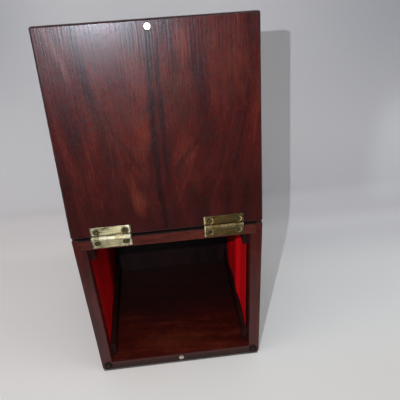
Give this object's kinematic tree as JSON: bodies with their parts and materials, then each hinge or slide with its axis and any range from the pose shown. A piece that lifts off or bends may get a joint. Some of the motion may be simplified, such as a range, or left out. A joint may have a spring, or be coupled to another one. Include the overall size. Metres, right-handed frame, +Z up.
{
  "type": "dice box",
  "caption": "Near-cubic wooden box standing on one wall, with a full-face lid on two brass butt hinges, a magnet catch and red side linings.",
  "frame": {"origin": "centre of the outer face of the front wall, the face that the box stands on, halfway between the rim and the back in Y", "axes": "+Z up, from the front wall to the hinge wall; +X along the hinge line, to the right when looking into the box; -Y out of the open mouth"},
  "size_m": [0.15, 0.1407, 0.3075],
  "materials": {
    "wood": "dark red-brown rosewood or stained mahogany, open grain, satin lacquer",
    "dark_wood": "near-black stained wood, satin",
    "hinge_brass": "pale brass, brushed along the hinge, clear lacquer",
    "screw_brass": "darker brass plating, slightly dulled",
    "magnet": "bright nickel plating",
    "pad": "dark soft rubber, satin",
    "lining": "bright red velvet-like cloth, matt"
  },
  "bodies": {
    "box": {"base_panel": "wood", "box_screws": "screw_brass", "front_wall": "wood", "hinge_wall": "wood", "left_box_leaf": "hinge_brass", "left_corner_pad": "pad", "left_front_batten": "dark_wood", "left_hinge_batten": "dark_wood", "left_hinge_pin": "hinge_brass", "left_lining": "lining", "left_wall": "wood", "right_box_leaf": "hinge_brass", "right_corner_pad": "pad", "right_front_batten": "dark_wood", "right_hinge_batten": "dark_wood", "right_hinge_pin": "hinge_brass", "right_lining": "lining", "right_wall": "wood", "rim_magnet": "magnet"},
    "lid": {"lid_panel": "wood", "lid_magnet": "magnet", "lid_screws": "screw_brass", "left_lid_leaf": "hinge_brass", "right_lid_leaf": "hinge_brass"}
  },
  "joints": [
    {"name": "lid_hinge", "type": "hinge", "parent": "box", "child": "lid", "pos_m": [0, -0.06995, 0.1549], "axis": [1, 0, 0], "range_deg": [0, 189]}
  ]
}
